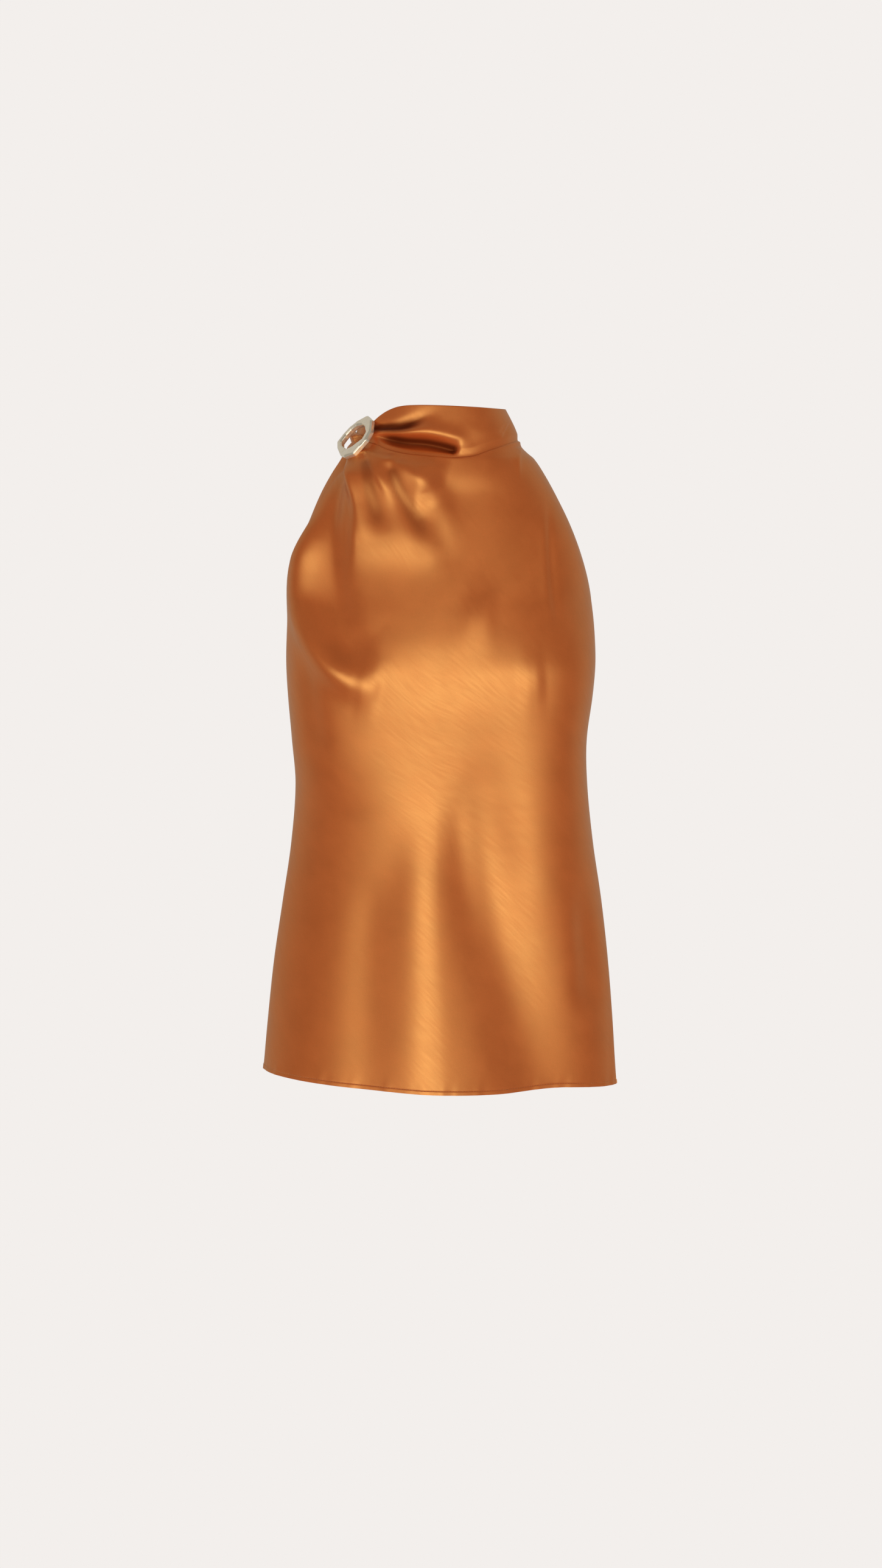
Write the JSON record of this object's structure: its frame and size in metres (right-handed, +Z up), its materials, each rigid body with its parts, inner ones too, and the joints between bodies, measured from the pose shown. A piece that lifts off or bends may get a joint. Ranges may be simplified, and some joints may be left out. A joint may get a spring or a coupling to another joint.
{
  "type": "asymmetric sleeveless satin top, as worn",
  "caption": "Sleeveless satin top with a draped high neck gathered to a hammered metal ring on one shoulder, filled out as worn, with open neck, armholes and hem.",
  "frame": {"origin": "middle of the neck opening, level with the neck ends of the shoulder seams, where the wearer's neck and shoulders carry the top", "axes": "+Z up along the body, +X to the wearer's left, -Y to the front; the ring is at -X"},
  "size_m": [0.3599, 0.2358, 0.6871],
  "materials": {
    "satin": "satin",
    "ring_metal": "polished"
  },
  "bodies": {
    "root": {"front_panel": "satin", "back_panel": "satin", "collar_front": "satin", "collar_back": "satin", "shoulder_loop": "satin", "ring": "ring_metal"}
  },
  "joints": []
}
